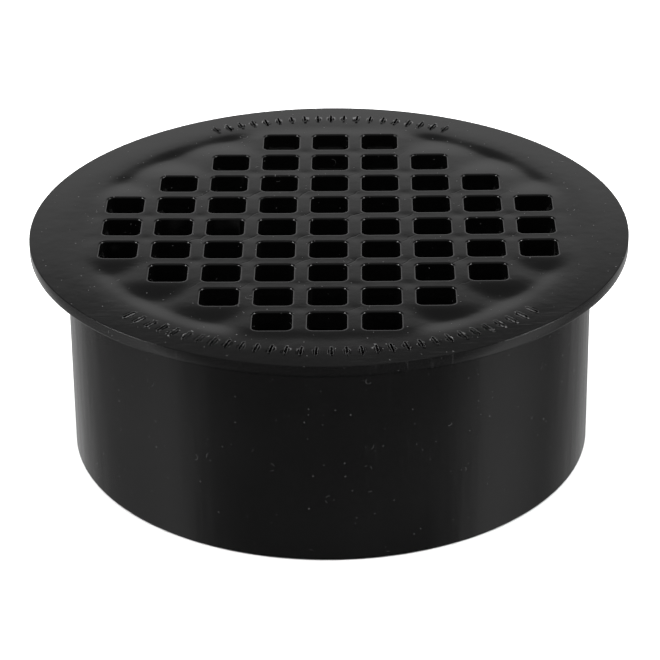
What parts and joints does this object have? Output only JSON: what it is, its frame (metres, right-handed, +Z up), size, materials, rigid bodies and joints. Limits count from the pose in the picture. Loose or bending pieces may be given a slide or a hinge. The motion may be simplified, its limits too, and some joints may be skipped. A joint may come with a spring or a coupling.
{
  "type": "floor drain grate",
  "caption": "Round floor drain grate: a flat snap-in strainer with a grid of small square holes, on a short pipe collar that slips into a 4-inch pipe or over a 3-inch one.",
  "frame": {"origin": "centre of the collar's bottom ring, which the part stands on", "axes": "+Z up along the collar's axis, towards the grate; +X and +Y along the rows of holes"},
  "size_m": [0.1154, 0.1154, 0.0446],
  "materials": {
    "collar_plastic": "black moulded ABS, satin to semi-gloss, with fine scuffs",
    "grate_plastic": "black moulded ABS, semi-gloss, with soft sink marks between the holes and the flange"
  },
  "bodies": {
    "collar": {"pipe_collar": "collar_plastic"},
    "strainer": {"strainer_face": "grate_plastic", "grate_bars": "grate_plastic", "snap_fingers": "grate_plastic"}
  },
  "joints": [
    {"name": "strainer_lift", "type": "slide", "parent": "collar", "child": "strainer", "axis": [0, 0, 1], "range_m": [0, 0.03]}
  ]
}
